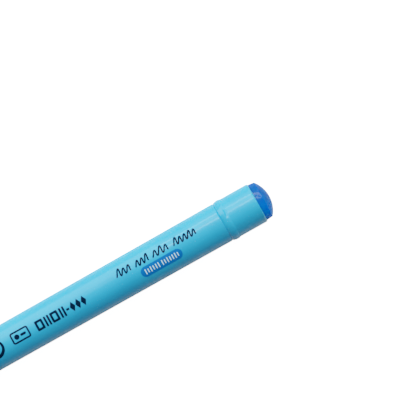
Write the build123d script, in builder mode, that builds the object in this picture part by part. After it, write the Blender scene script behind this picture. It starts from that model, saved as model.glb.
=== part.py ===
from build123d import *

import os
from math import asin, atan2, copysign, cos, sin, sqrt

# A capped gel pen with a friction eraser at its tail, lying along X.
# X runs along the pen from the cap's flat crown to the eraser, and Z is up.
# The origin is the centre of the crown's flat face, on the pen's axis.
# Every turned outline is a list of (x, radius) points, and all sizes are in millimetres.

# ---- driving dimensions ----
PEN_LENGTH = 150.0
BARREL_TAIL_R = 5.0
BARREL_FRONT_R = 4.77
BARREL_BORE_R = 3.9
BARREL_FRONT_X = 58.0
BARREL_END_X = 137.17
CAP_RIM_X = 60.0
CAP_RIM_R = 6.0
CAP_CROWN_R = 5.6
CAP_BORE_R = 5.15
BALL_R = 0.25
POINT_X = 9.6  # the ball's foremost point

# the running fit of the cap on the collar and on the tail, and the moulders' push fits
CAP_FIT = 0.07
PUSH_FIT = 0.02

# tail: bead that stops a posted cap, sleeve, eraser head
TAIL_RIM_X = 146.72
TAIL_R = CAP_BORE_R - CAP_FIT
BEAD_X = 138.55
BEAD_R = 5.25
BEAD_FRONT_X = 137.42
BEAD_FRONT_R = 5.04
BEAD_REAR_X = 139.3
SEAM_DEPTH = 0.16  # of the sleeve's front edge below the barrel
STEM_R = 3.6
STEM_X = 138.9
HEAD_R = 4.8
HEAD_EDGE_X = 148.32
HEAD_EDGE_R = 4.64

# thread between the section and the barrel
PITCH = 1.25
TURNS = 4
THREAD_CORE_R = 3.82
THREAD_CREST_R = 4.15
THREAD_START_X = 59.25
THREAD_GAP = 0.09
THREAD_ROOT_WIDTH = 0.62
THREAD_CREST_WIDTH = 0.3
THREAD_SINK = 0.12  # how far the ridge's foot is sunk into its core

# refill
TUBE_R = 3.0
TUBE_BORE_R = 2.4
TUBE_FRONT_X = 36.0
TUBE_END_X = 126.4
FOLLOWER_X = 98.0
FOLLOWER_LENGTH = 8.0

# section
SECTION_BORE_R = 3.2
COLLAR_R = CAP_BORE_R - CAP_FIT
COLLAR_X = 55.4
GRIP_CORE_R = 3.95
GRIP_FRONT_X = 31.0
GRIP_R = 4.7
GRIP_WAIST_R = 4.42
NOSE_FRONT_X = 12.3

# clip: radii are distances from the pen's axis
CLIP_HALF_WIDTH = 1.9
CLIP_END_HALF_WIDTH = 1.5
CLIP_UNDER_R = 6.95
CLIP_TOP_R = 8.35
CLIP_ROOT_X = 3.2
CLIP_REST_R = 8.75
CLIP_REST_X = 38.0
CLIP_END_X = 44.0
CLIP_PAD_X = 39.5
CLIP_PAD_GAP = 0.12
CLIP_ROUNDING = 0.4

os.makedirs("parts", exist_ok=True)


def turn(outline, mode=Mode.ADD):
    """Revolves a closed outline of (x, radius) points about the pen's axis, in the part being built."""
    with BuildSketch() as profile:
        with BuildLine():
            Polyline(*outline, close=True)
        make_face()
    revolve(profile.sketch, axis=Axis.X, mode=mode)


def tube(x0, x1, outer, inner):
    """A plain tube's outline."""
    return [(x0, inner), (x0, outer), (x1, outer), (x1, inner)]


def rod(x0, x1, radius):
    """A plain rod's outline."""
    return [(x0, 0), (x0, radius), (x1, radius), (x1, 0)]


def edges_at(part, x, radius, tolerance=0.02):
    """The round edges of a turned part at one place along the pen and one radius."""
    found = ShapeList()
    for edge in part.edges().filter_by(GeomType.CIRCLE):
        centre = edge.arc_center
        if abs(centre.X - x) < tolerance and abs(edge.radius - radius) < tolerance:
            found.append(edge)
    return found


def rise_middle(foot, crest):
    """The middle of the arc that rises from a foot to a crest, where it runs level."""
    run = crest[0] - foot[0]
    rise = crest[1] - foot[1]
    arc_r = (run**2 + rise**2) / (2 * rise)
    half_angle = asin(abs(run) / arc_r) / 2
    x = crest[0] - copysign(arc_r * sin(half_angle), run)
    return (x, crest[1] - arc_r * (1 - cos(half_angle)))


def save(built, name):
    """Labels a finished sub-part and writes its STEP file."""
    built.part.label = name
    export_step(built.part, f"parts/{name}.step")


def thread_ridge(start_x, turns, gap=0):
    """A helical ridge of trapezoid section, its foot sunk a little way into the core."""
    core_r = THREAD_CORE_R + gap
    rise = THREAD_CREST_R - THREAD_CORE_R
    root_half = THREAD_ROOT_WIDTH / 2 + gap
    crest_half = THREAD_CREST_WIDTH / 2 + gap
    with BuildPart() as ridge:
        with BuildLine() as path:
            Helix(PITCH, PITCH * turns, core_r, center=(start_x, 0, 0), direction=(1, 0, 0))
        start = path.line @ 0
        outward = Vector(0, start.Y, start.Z).normalized()
        across = Vector(1, 0, 0).cross(outward)
        with BuildSketch(Plane(origin=start, x_dir=(1, 0, 0), z_dir=across)):
            with BuildLine():
                Polyline(
                    (-root_half, -THREAD_SINK),
                    (-crest_half, rise),
                    (crest_half, rise),
                    (root_half, -THREAD_SINK),
                    close=True,
                )
            make_face()
        sweep(path=path.line, is_frenet=True)
    return ridge.part


# ---- barrel ----
THREAD_RUN = 2  # whole turns added at each end of the nut thread, so that the two stay in step
BARREL_FRONT_ROUND = 0.15
BARREL_END_ROUND = 0.2
female_thread = thread_ridge(THREAD_START_X - THREAD_RUN * PITCH, TURNS + 2 * THREAD_RUN, THREAD_GAP)
with BuildPart() as barrel:
    turn(
        [
            (BARREL_FRONT_X, BARREL_BORE_R),
            (BARREL_FRONT_X, BARREL_FRONT_R),
            (BARREL_END_X, BARREL_TAIL_R),
            (BARREL_END_X, BARREL_BORE_R),
        ]
    )
    fillet(edges_at(barrel.part, BARREL_END_X, BARREL_TAIL_R), BARREL_END_ROUND)
    fillet(edges_at(barrel.part, BARREL_FRONT_X, BARREL_FRONT_R), BARREL_FRONT_ROUND)
    add(female_thread, mode=Mode.SUBTRACT)
save(barrel, "barrel")

# ---- tail sleeve: bead, posting sleeve, eraser socket, and the plug in the barrel's end ----
PLUG_X = 129.0
PLUG_R = BARREL_BORE_R - PUSH_FIT
PLUG_BORE_R = 2.58
PLUG_LEAD_X = PLUG_X + 0.8
PLUG_LEAD_R = PLUG_R - 0.35
WEB_X = 136.4
SOCKET_FLOOR_X = STEM_X - 0.3
VENT_R = 0.5
TAIL_RIM_ROUND = 0.3
FLUTES = 6
FLUTE_DEPTH = 0.5
FLUTE_WIDTH = 0.9
FLUTE_X = PLUG_X + 1.2
FLUTE_LENGTH = 5.6
bead_front = (BEAD_FRONT_X, BEAD_FRONT_R)
bead_crest = (BEAD_X, BEAD_R)
bead_rear = (BEAD_REAR_X, TAIL_R)
with BuildPart() as tail_sleeve:
    with BuildSketch():
        with BuildLine():
            Polyline(
                (PLUG_X, PLUG_BORE_R),
                (PLUG_X, PLUG_LEAD_R),
                (PLUG_LEAD_X, PLUG_R),
                (BARREL_END_X, PLUG_R),
                (BARREL_END_X, BARREL_TAIL_R - SEAM_DEPTH),
                bead_front,
            )
            ThreePointArc(bead_front, rise_middle(bead_front, bead_crest), bead_crest)
            ThreePointArc(bead_crest, rise_middle(bead_rear, bead_crest), bead_rear)
            Polyline(
                bead_rear,
                (TAIL_RIM_X, TAIL_R),
                (TAIL_RIM_X, STEM_R + PUSH_FIT),
                (SOCKET_FLOOR_X, STEM_R + PUSH_FIT),
                (SOCKET_FLOOR_X, 0),
                (WEB_X, 0),
                (WEB_X, PLUG_BORE_R),
                (PLUG_X, PLUG_BORE_R),
            )
        make_face()
    revolve(axis=Axis.X)
    fillet(edges_at(tail_sleeve.part, TAIL_RIM_X, TAIL_R), TAIL_RIM_ROUND)
    # vent between the barrel and the eraser socket
    with Locations(Plane.YZ.offset(SOCKET_FLOOR_X)):
        Hole(VENT_R, depth=SOCKET_FLOOR_X - WEB_X)
    # relief flutes along the plug
    with BuildSketch(Plane.YZ.offset(FLUTE_X)):
        with PolarLocations(PLUG_R - FLUTE_DEPTH / 3, FLUTES):
            Rectangle(FLUTE_DEPTH, FLUTE_WIDTH)
    extrude(amount=FLUTE_LENGTH, mode=Mode.SUBTRACT)
save(tail_sleeve, "tail_sleeve")

# ---- eraser: domed head on a barbed stem, cored out like any thick moulding ----
DOME_RISE = PEN_LENGTH - HEAD_EDGE_X
HEAD_ROUND = 0.3
STEM_SIDE_R = STEM_R - 0.12
STEM_LEAD = 0.45
BARBS_X = (141.0, 143.4)
BARB_LENGTH = 0.9
BARB_FOOT_R = 3.0
ERASER_CORE_R = 1.5
ERASER_CORE_DEPTH = 6.2
dome_r = (HEAD_EDGE_R**2 + DOME_RISE**2) / (2 * DOME_RISE)
dome_middle = asin(HEAD_EDGE_R / dome_r) / 2
with BuildPart() as eraser:
    with BuildSketch():
        with BuildLine():
            Polyline(
                (STEM_X, 0),
                (STEM_X, STEM_R - STEM_LEAD),
                (STEM_X + STEM_LEAD, STEM_SIDE_R),
                (TAIL_RIM_X, STEM_SIDE_R),
                (TAIL_RIM_X, HEAD_R),
                (HEAD_EDGE_X, HEAD_EDGE_R),
            )
            ThreePointArc(
                (HEAD_EDGE_X, HEAD_EDGE_R),
                (PEN_LENGTH - dome_r * (1 - cos(dome_middle)), dome_r * sin(dome_middle)),
                (PEN_LENGTH, 0),
            )
            Line((PEN_LENGTH, 0), (STEM_X, 0))
        make_face()
    revolve(axis=Axis.X)
    fillet(edges_at(eraser.part, HEAD_EDGE_X, HEAD_EDGE_R), HEAD_ROUND)
    # barbs that grip the socket
    for barb_x in BARBS_X:
        turn(
            [
                (barb_x, BARB_FOOT_R),
                (barb_x, STEM_R),
                (barb_x + BARB_LENGTH, STEM_SIDE_R),
                (barb_x + BARB_LENGTH, BARB_FOOT_R),
            ]
        )
    turn(rod(STEM_X, STEM_X + ERASER_CORE_DEPTH, ERASER_CORE_R), mode=Mode.SUBTRACT)
save(eraser, "eraser")

# ---- section core: tube under the grip, snap collar, threaded spigot ----
SPIGOT_END_X = 66.0
NOSE_SOCKET_R = 3.42
NOSE_SOCKET_END_X = 35.2
COLLAR_END_X = BARREL_FRONT_X - 0.05
COLLAR_FRONT_ROUND = 0.45
COLLAR_REAR_ROUND = 0.15
SPIGOT_LEAD_X = SPIGOT_END_X - 0.5
SPIGOT_LEAD_R = THREAD_CORE_R - 0.3
with BuildPart() as section_core:
    turn(
        [
            (GRIP_FRONT_X, NOSE_SOCKET_R),
            (GRIP_FRONT_X, GRIP_CORE_R),
            (COLLAR_X, GRIP_CORE_R),
            (COLLAR_X, COLLAR_R),
            (COLLAR_END_X, COLLAR_R),
            (COLLAR_END_X, THREAD_CORE_R),
            (SPIGOT_LEAD_X, THREAD_CORE_R),
            (SPIGOT_END_X, SPIGOT_LEAD_R),
            (SPIGOT_END_X, SECTION_BORE_R),
            (NOSE_SOCKET_END_X, SECTION_BORE_R),
            (NOSE_SOCKET_END_X, NOSE_SOCKET_R),
        ]
    )
    fillet(edges_at(section_core.part, COLLAR_X, COLLAR_R), COLLAR_FRONT_ROUND)
    fillet(edges_at(section_core.part, COLLAR_END_X, COLLAR_R), COLLAR_REAR_ROUND)
    add(thread_ridge(THREAD_START_X, TURNS))
save(section_core, "section_core")

# ---- grip sleeve: waisted rubber with a band of ring grooves ----
GRIP_END_X = COLLAR_X - 0.05
GRIP_MID_X = (GRIP_FRONT_X + GRIP_END_X) / 2
GRIP_FRONT_R = GRIP_R - 0.1
GRIP_END_ROUND = 0.25
GRIP_FRONT_ROUND = 0.2
GROOVES = 8
GROOVE_PITCH = 2.0
GROOVE_MID_X = GRIP_MID_X - 2.0
GROOVE_TOP_HALF = 0.5
GROOVE_FLOOR_HALF = 0.22
GROOVE_TOP_R = GRIP_R + 0.2
GROOVE_FLOOR_R = GRIP_WAIST_R - 0.22
with BuildPart() as grip_sleeve:
    with BuildSketch():
        with BuildLine():
            Polyline(
                (GRIP_END_X, GRIP_R),
                (GRIP_END_X, GRIP_CORE_R + PUSH_FIT),
                (GRIP_FRONT_X, GRIP_CORE_R + PUSH_FIT),
                (GRIP_FRONT_X, GRIP_FRONT_R),
            )
            ThreePointArc(
                (GRIP_FRONT_X, GRIP_FRONT_R), (GRIP_MID_X, GRIP_WAIST_R), (GRIP_END_X, GRIP_R)
            )
        make_face()
    revolve(axis=Axis.X)
    fillet(edges_at(grip_sleeve.part, GRIP_END_X, GRIP_R), GRIP_END_ROUND)
    fillet(edges_at(grip_sleeve.part, GRIP_FRONT_X, GRIP_FRONT_R), GRIP_FRONT_ROUND)
    for i in range(GROOVES):
        groove_x = GROOVE_MID_X + (i - (GROOVES - 1) / 2) * GROOVE_PITCH
        turn(
            [
                (groove_x - GROOVE_TOP_HALF, GROOVE_TOP_R),
                (groove_x - GROOVE_FLOOR_HALF, GROOVE_FLOOR_R),
                (groove_x + GROOVE_FLOOR_HALF, GROOVE_FLOOR_R),
                (groove_x + GROOVE_TOP_HALF, GROOVE_TOP_R),
            ],
            mode=Mode.SUBTRACT,
        )
save(grip_sleeve, "grip_sleeve")

# ---- nose cone: curved taper, seal land for the cap's liner, seat for the refill ----
SEAL_R = 2.82
SEAL_X = 19.0
SEAL_END_X = 21.4
NOSE_REAR_R = GRIP_R - 0.16
NOSE_REAR_X = GRIP_FRONT_X - 0.05
NOSE_END_X = NOSE_SOCKET_END_X - 0.2
NOSE_FRONT_R = 1.62
NOSE_FRONT_ROUND = 0.16
NOSE_TURN_IN = -0.02  # slope of the cone where it leaves the grip
NOSE_SPIGOT_R = NOSE_SOCKET_R - PUSH_FIT
REFILL_SEAT_X = 20.2
REFILL_SEAT_FRONT_X = 19.3
POINT_BORE_R = 1.24
POINT_BORE_END_X = 15.0
HOLDER_BORE_R = 1.7
HOLDER_BORE_X = 15.4
NOSE_BORE_R = 2.62
with BuildPart() as nose_cone:
    with BuildSketch():
        with BuildLine():
            Polyline(
                (SEAL_X, SEAL_R),
                (NOSE_FRONT_X, NOSE_FRONT_R),
                (NOSE_FRONT_X, POINT_BORE_R),
                (POINT_BORE_END_X, POINT_BORE_R),
                (HOLDER_BORE_X, HOLDER_BORE_R),
                (REFILL_SEAT_FRONT_X, HOLDER_BORE_R),
                (REFILL_SEAT_X, NOSE_BORE_R),
                (NOSE_END_X, NOSE_BORE_R),
                (NOSE_END_X, NOSE_SPIGOT_R),
                (NOSE_REAR_X, NOSE_SPIGOT_R),
                (NOSE_REAR_X, NOSE_REAR_R),
            )
            TangentArc((NOSE_REAR_X, NOSE_REAR_R), (SEAL_END_X, SEAL_R), tangent=(-1, NOSE_TURN_IN))
            Line((SEAL_END_X, SEAL_R), (SEAL_X, SEAL_R))
        make_face()
    revolve(axis=Axis.X)
    fillet(edges_at(nose_cone.part, NOSE_FRONT_X, NOSE_FRONT_R), NOSE_FRONT_ROUND)
save(nose_cone, "nose_cone")

# ---- refill: writing point ----
LIP_X = POINT_X + 0.16
LIP_R = 0.34
LIP_CONE_X = LIP_X + 0.5
LIP_CONE_R = 0.44
BALL_X = POINT_X + BALL_R
BALL_SEAT_R = BALL_R + 0.012
SHANK_X = 15.6
SHANK_R = 1.0
POINT_END_X = 19.6
POINT_R = 1.15
POINT_CONE_END_X = 12.9
SPRING_STOP_X = POINT_END_X - 0.4
SPRING_STOP_R = 0.3
SPRING_BORE_R = 0.6
SPRING_BORE_X = 11.6
CHANNEL_R = 0.16
CHANNEL_END_X = 10.9
CHANNEL_FLARE_X = 11.2
CHANNEL_FLARE_R = 0.42
lip_inner_r = sqrt(BALL_SEAT_R**2 - (BALL_X - LIP_X) ** 2)
throat_x = BALL_X + sqrt(BALL_SEAT_R**2 - CHANNEL_R**2)
with BuildPart() as writing_point:
    with BuildSketch():
        with BuildLine():
            Polyline(
                (LIP_X, lip_inner_r),
                (LIP_X, LIP_R),
                (LIP_CONE_X, LIP_CONE_R),
                (POINT_CONE_END_X, POINT_R),
                (SHANK_X, POINT_R),
                (SHANK_X, SHANK_R),
                (POINT_END_X, SHANK_R),
                (POINT_END_X, SPRING_STOP_R),
                (SPRING_STOP_X, SPRING_STOP_R),
                (SPRING_STOP_X, SPRING_BORE_R),
                (SPRING_BORE_X, SPRING_BORE_R),
                (CHANNEL_FLARE_X, CHANNEL_FLARE_R),
                (CHANNEL_END_X, CHANNEL_R),
                (throat_x, CHANNEL_R),
            )
            ThreePointArc((throat_x, CHANNEL_R), (BALL_X, BALL_SEAT_R), (LIP_X, lip_inner_r))
        make_face()
    revolve(axis=Axis.X)
save(writing_point, "writing_point")

# ---- refill: ball ----
with BuildPart() as ball:
    with Locations((BALL_X, 0, 0)):
        Sphere(BALL_R)
save(ball, "ball")

# ---- refill: spring that holds the ball against its lip ----
SPRING_WIRE_R = 0.07
SPRING_R = 0.36
SPRING_X = 12.2
SPRING_PITCH = 0.6
SPRING_TURNS = 11
SPRING_LENGTH = SPRING_PITCH * SPRING_TURNS
SPRING_COIL_X = SPRING_X - 0.14
SPRING_COIL_END_X = SPRING_X + 0.1
with BuildPart() as ball_spring:
    with BuildLine() as spring_path:
        Helix(SPRING_PITCH, SPRING_LENGTH, SPRING_R, center=(SPRING_X, 0, 0), direction=(1, 0, 0))
    spring_start = spring_path.line @ 0
    with BuildSketch(Plane(origin=spring_start, z_dir=spring_path.line % 0)):
        Circle(SPRING_WIRE_R)
    sweep(path=spring_path.line, is_frenet=True)
    # straight front end that reaches the ball, carried by a closed end coil
    turn(rod(BALL_X + BALL_SEAT_R + PUSH_FIT, SPRING_X, SPRING_WIRE_R))
    turn(rod(SPRING_COIL_X, SPRING_COIL_END_X, SPRING_R + SPRING_WIRE_R))
save(ball_spring, "ball_spring")

# ---- refill: tip holder, pushed into the tube's front and over the writing point's shank ----
HOLDER_FRONT_X = SHANK_X + PUSH_FIT
HOLDER_FRONT_R = 1.56
HOLDER_NECK_X = REFILL_SEAT_X - 0.85
HOLDER_NECK_R = 1.6
HOLDER_BODY_X = REFILL_SEAT_X + 0.05
HOLDER_BODY_R = 2.5
HOLDER_END_X = 42.0
HOLDER_LEAD_X = HOLDER_END_X - 0.6
HOLDER_LEAD_R = 2.1
FEED_R = 0.7
FEED_FLARE_X = 20.6
HOLDER_INK_R = 1.5
HOLDER_INK_X = 21.2
INK_R = TUBE_BORE_R - PUSH_FIT
with BuildPart() as tip_holder:
    turn(
        [
            (HOLDER_FRONT_X, SHANK_R + PUSH_FIT),
            (HOLDER_FRONT_X, HOLDER_FRONT_R),
            (HOLDER_NECK_X, HOLDER_NECK_R),
            (HOLDER_BODY_X, HOLDER_BODY_R),
            (TUBE_FRONT_X - PUSH_FIT, HOLDER_BODY_R),
            (TUBE_FRONT_X - PUSH_FIT, INK_R),
            (HOLDER_LEAD_X, INK_R),
            (HOLDER_END_X, HOLDER_LEAD_R),
            (HOLDER_END_X, HOLDER_INK_R),
            (HOLDER_INK_X, HOLDER_INK_R),
            (FEED_FLARE_X, FEED_R),
            (POINT_END_X + PUSH_FIT, FEED_R),
            (POINT_END_X + PUSH_FIT, SHANK_R + PUSH_FIT),
        ]
    )
save(tip_holder, "tip_holder")

# ---- refill: tube, ink, follower, tail plug ----
TUBE_BEVEL = 0.15
INK_GAP = 0.05
with BuildPart() as refill_tube:
    turn(tube(TUBE_FRONT_X, TUBE_END_X, TUBE_R, TUBE_BORE_R))
    chamfer(edges_at(refill_tube.part, TUBE_FRONT_X, TUBE_R), TUBE_BEVEL)
save(refill_tube, "refill_tube")

with BuildPart() as ink:
    turn(rod(HOLDER_END_X + INK_GAP, FOLLOWER_X - INK_GAP, INK_R))
save(ink, "ink")

FOLLOWER_ROUND = 0.5
with BuildPart() as follower:
    turn(rod(FOLLOWER_X, FOLLOWER_X + FOLLOWER_LENGTH, INK_R))
    fillet(edges_at(follower.part, FOLLOWER_X, INK_R), FOLLOWER_ROUND)
    fillet(edges_at(follower.part, FOLLOWER_X + FOLLOWER_LENGTH, INK_R), FOLLOWER_ROUND)
save(follower, "ink_follower")

REFILL_PLUG_X = TUBE_END_X - 4.0
REFILL_PLUG_LEAD_X = TUBE_END_X - 3.5
REFILL_PLUG_LEAD_R = INK_R - 0.25
REFILL_PLUG_HEAD_X = TUBE_END_X + PUSH_FIT
REFILL_PLUG_HEAD_R = TUBE_R - 0.05
REFILL_PLUG_END_X = PLUG_X - 0.4
REFILL_VENT_R = 0.45
with BuildPart() as refill_plug:
    turn(
        [
            (REFILL_PLUG_X, REFILL_VENT_R),
            (REFILL_PLUG_X, REFILL_PLUG_LEAD_R),
            (REFILL_PLUG_LEAD_X, INK_R),
            (REFILL_PLUG_HEAD_X, INK_R),
            (REFILL_PLUG_HEAD_X, REFILL_PLUG_HEAD_R),
            (REFILL_PLUG_END_X, REFILL_PLUG_HEAD_R),
            (REFILL_PLUG_END_X, REFILL_VENT_R),
        ]
    )
save(refill_plug, "refill_plug")

# ---- cap shell: tapered tube with ribs that centre the liner and leave air room round it ----
CAP_FRONT_X = 1.6
RIB_X = 4.6
SOCKET_R = 4.72
RIB_INNER_R = 3.66
RIB_FOOT_R = 4.9  # inside the shell's wall
RIB_WIDTH = 0.8
RIB_END_X = 17.0
THROAT_X = 24.0
THROAT_R = 4.8
CAP_BORE_X = 44.0
RIBS = 6
CAP_RIM_ROUND = 0.35
CAP_MOUTH_BEVEL = 0.2
with BuildPart() as cap_shell:
    turn(
        [
            (CAP_FRONT_X, SOCKET_R),
            (CAP_FRONT_X, CAP_CROWN_R),
            (CAP_RIM_X, CAP_RIM_R),
            (CAP_RIM_X, CAP_BORE_R),
            (CAP_BORE_X, CAP_BORE_R),
            (THROAT_X, THROAT_R),
            (RIB_X, SOCKET_R),
        ]
    )
    fillet(edges_at(cap_shell.part, CAP_RIM_X, CAP_RIM_R), CAP_RIM_ROUND)
    chamfer(edges_at(cap_shell.part, CAP_RIM_X, CAP_BORE_R), CAP_MOUTH_BEVEL)
    with BuildSketch(Plane.YZ.offset(RIB_X)):
        with PolarLocations((RIB_INNER_R + RIB_FOOT_R) / 2, RIBS):
            Rectangle(RIB_FOOT_R - RIB_INNER_R, RIB_WIDTH)
    extrude(amount=RIB_END_X - RIB_X)
save(cap_shell, "cap_shell")

# ---- cap liner: cup that seals on the nose cone, its flange notched for air ----
LINER_X = 3.4
LINER_R = 3.6
LINER_RECESS_R = 2.6
LINER_BORE_R = SEAL_R + 0.06
LINER_FLOOR_X = 6.4
LINER_FLOOR_THICKNESS = 1.2
LINER_MOUTH_X = 22.0
LINER_MOUTH_R = LINER_BORE_R + 0.4
LINER_LEAD_X = LINER_MOUTH_X - 0.8
FLANGE_R = SOCKET_R - PUSH_FIT
FLANGE_END_X = RIB_X - 0.03
NOTCH_R = 0.7
NOTCH_AT_R = FLANGE_R + 0.1
NOTCH_ANGLE = 30  # degrees, midway between the shell's ribs
with BuildPart() as cap_liner:
    turn(
        [
            (LINER_X, LINER_RECESS_R),
            (LINER_X, FLANGE_R),
            (FLANGE_END_X, FLANGE_R),
            (FLANGE_END_X, LINER_R),
            (LINER_MOUTH_X, LINER_R),
            (LINER_MOUTH_X, LINER_MOUTH_R),
            (LINER_LEAD_X, LINER_BORE_R),
            (LINER_FLOOR_X, LINER_BORE_R),
            (LINER_FLOOR_X, 0),
            (LINER_FLOOR_X - LINER_FLOOR_THICKNESS, 0),
            (LINER_FLOOR_X - LINER_FLOOR_THICKNESS, LINER_RECESS_R),
        ]
    )
    with BuildSketch(Plane.YZ.offset(LINER_X)):
        with PolarLocations(NOTCH_AT_R, RIBS, start_angle=NOTCH_ANGLE):
            Circle(NOTCH_R)
    extrude(amount=RIB_X - LINER_X, mode=Mode.SUBTRACT)
save(cap_liner, "cap_liner")

# ---- the side of the pen that the clip is on ----
# The pen lies on the rim of its cap, on the bead at its tail and on the clip's lower long edge.
# The clip points below level just far enough for that edge to reach the same table.
TABLE_SLOPE = (CAP_RIM_R - BEAD_R) / (BEAD_X - CAP_RIM_X)
TABLE_BELOW_CLIP = CAP_RIM_R + TABLE_SLOPE * (CAP_RIM_X - CLIP_REST_X)
edge_out = CLIP_REST_R - CLIP_ROUNDING
edge_side = CLIP_END_HALF_WIDTH - CLIP_ROUNDING
edge_reach = sqrt(edge_out**2 + edge_side**2)
edge_angle = atan2(edge_side, edge_out)
CLIP_BELOW_LEVEL = asin((TABLE_BELOW_CLIP - CLIP_ROUNDING) / edge_reach) - edge_angle
CLIP_OUTWARD = Vector(0, -cos(CLIP_BELOW_LEVEL), -sin(CLIP_BELOW_LEVEL))
CLIP_ACROSS = Vector(1, 0, 0).cross(CLIP_OUTWARD)
CLIP_SIDE = Plane(origin=(0, 0, 0), x_dir=(1, 0, 0), z_dir=CLIP_ACROSS)
CLIP_PLAN = Plane(origin=(0, 0, 0), x_dir=(1, 0, 0), z_dir=CLIP_OUTWARD)

# ---- cap crown: flat disc with air holes, plug into the shell, lug for the clip ----
CROWN_THICKNESS = 1.55
CROWN_ROUND = 0.4
CROWN_PLUG_R = SOCKET_R - PUSH_FIT
CROWN_PLUG_BORE_R = CROWN_PLUG_R - 1.0
CROWN_PLUG_END_X = LINER_X - 0.03
AIR_HOLES = 3
AIR_HOLE_R = 0.65
AIR_HOLE_AT_R = 2.7
LUG_FOOT_R = 4.0
LUG_NOSE_R = 1.0
LUG_OVER_SHELL_R = CAP_CROWN_R + 0.1
LUG_OVER_SHELL_X = CLIP_ROOT_X - 0.8
with BuildPart() as cap_crown:
    turn(rod(0, CROWN_THICKNESS, CAP_CROWN_R))
    fillet(edges_at(cap_crown.part, 0, CAP_CROWN_R), CROWN_ROUND)
    turn(tube(CROWN_THICKNESS / 2, CROWN_PLUG_END_X, CROWN_PLUG_R, CROWN_PLUG_BORE_R))
    with BuildSketch(Plane.YZ):
        with PolarLocations(AIR_HOLE_AT_R, AIR_HOLES, start_angle=NOTCH_ANGLE):
            Circle(AIR_HOLE_R)
    extrude(amount=CROWN_THICKNESS, mode=Mode.SUBTRACT)
    # lug: rises from the disc and reaches back over the shell to the clip's root
    with BuildSketch(CLIP_SIDE):
        with BuildLine():
            Line((0, LUG_FOOT_R), (0, CLIP_TOP_R - LUG_NOSE_R))
            TangentArc((0, CLIP_TOP_R - LUG_NOSE_R), (LUG_NOSE_R, CLIP_TOP_R), tangent=(0, 1))
            Polyline(
                (LUG_NOSE_R, CLIP_TOP_R),
                (CLIP_ROOT_X, CLIP_TOP_R),
                (CLIP_ROOT_X, CLIP_UNDER_R),
                (LUG_OVER_SHELL_X, LUG_OVER_SHELL_R),
                (CROWN_THICKNESS, LUG_OVER_SHELL_R),
                (CROWN_THICKNESS, LUG_FOOT_R),
                (0, LUG_FOOT_R),
            )
        make_face()
    extrude(amount=CLIP_HALF_WIDTH, both=True)
save(cap_crown, "cap_crown")

# ---- clip: springy arm with a pad under its free end ----
shell_slope = (CAP_RIM_R - CAP_CROWN_R) / (CAP_RIM_X - CAP_FRONT_X)
shell_r_at_pad = CAP_CROWN_R + shell_slope * (CLIP_PAD_X - CAP_FRONT_X)
PAD_HALF_LENGTH = 3.4
ARM_UNDER_R = 7.3
TIP_UNDER_R = ARM_UNDER_R + 0.6
CLIP_END_MIDDLE_X = CLIP_END_X - CLIP_END_HALF_WIDTH
EDGE_TOLERANCE = 0.1
with BuildPart() as clip:
    with BuildSketch(CLIP_SIDE):
        with BuildLine():
            Polyline(
                (CLIP_PAD_X + PAD_HALF_LENGTH, ARM_UNDER_R),
                (CLIP_END_X, TIP_UNDER_R),
                (CLIP_END_X, CLIP_REST_R),
                (CLIP_REST_X, CLIP_REST_R),
                (CLIP_ROOT_X, CLIP_TOP_R),
                (CLIP_ROOT_X, CLIP_UNDER_R),
                (CLIP_PAD_X - PAD_HALF_LENGTH, ARM_UNDER_R),
            )
            ThreePointArc(
                (CLIP_PAD_X - PAD_HALF_LENGTH, ARM_UNDER_R),
                (CLIP_PAD_X, shell_r_at_pad + CLIP_PAD_GAP),
                (CLIP_PAD_X + PAD_HALF_LENGTH, ARM_UNDER_R),
            )
        make_face()
    extrude(amount=CLIP_HALF_WIDTH, both=True)
    with BuildSketch(CLIP_PLAN.offset(CAP_CROWN_R)):
        with BuildLine():
            Polyline(
                (CLIP_END_MIDDLE_X, -CLIP_END_HALF_WIDTH),
                (CLIP_ROOT_X, -CLIP_HALF_WIDTH),
                (CLIP_ROOT_X, CLIP_HALF_WIDTH),
                (CLIP_END_MIDDLE_X, CLIP_END_HALF_WIDTH),
            )
            ThreePointArc(
                (CLIP_END_MIDDLE_X, CLIP_END_HALF_WIDTH),
                (CLIP_END_X, 0),
                (CLIP_END_MIDDLE_X, -CLIP_END_HALF_WIDTH),
            )
        make_face()
    extrude(amount=CLIP_REST_R, mode=Mode.INTERSECT)
    # round the outer rim, but not the joint with the lug or the bend of the outer face
    outer_faces = clip.part.faces().filter_by(
        lambda face: face.center().dot(CLIP_OUTWARD) > CLIP_TOP_R
        and face.normal_at().dot(CLIP_OUTWARD) > 1 - EDGE_TOLERANCE
    )
    rim_edges = outer_faces.edges().filter_by(
        lambda edge: abs(edge.center().X - CLIP_ROOT_X) > EDGE_TOLERANCE
        and abs(edge.center().X - CLIP_REST_X) > EDGE_TOLERANCE
    )
    fillet(rim_edges, CLIP_ROUNDING)
save(clip, "clip")
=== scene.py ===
import math

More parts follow.
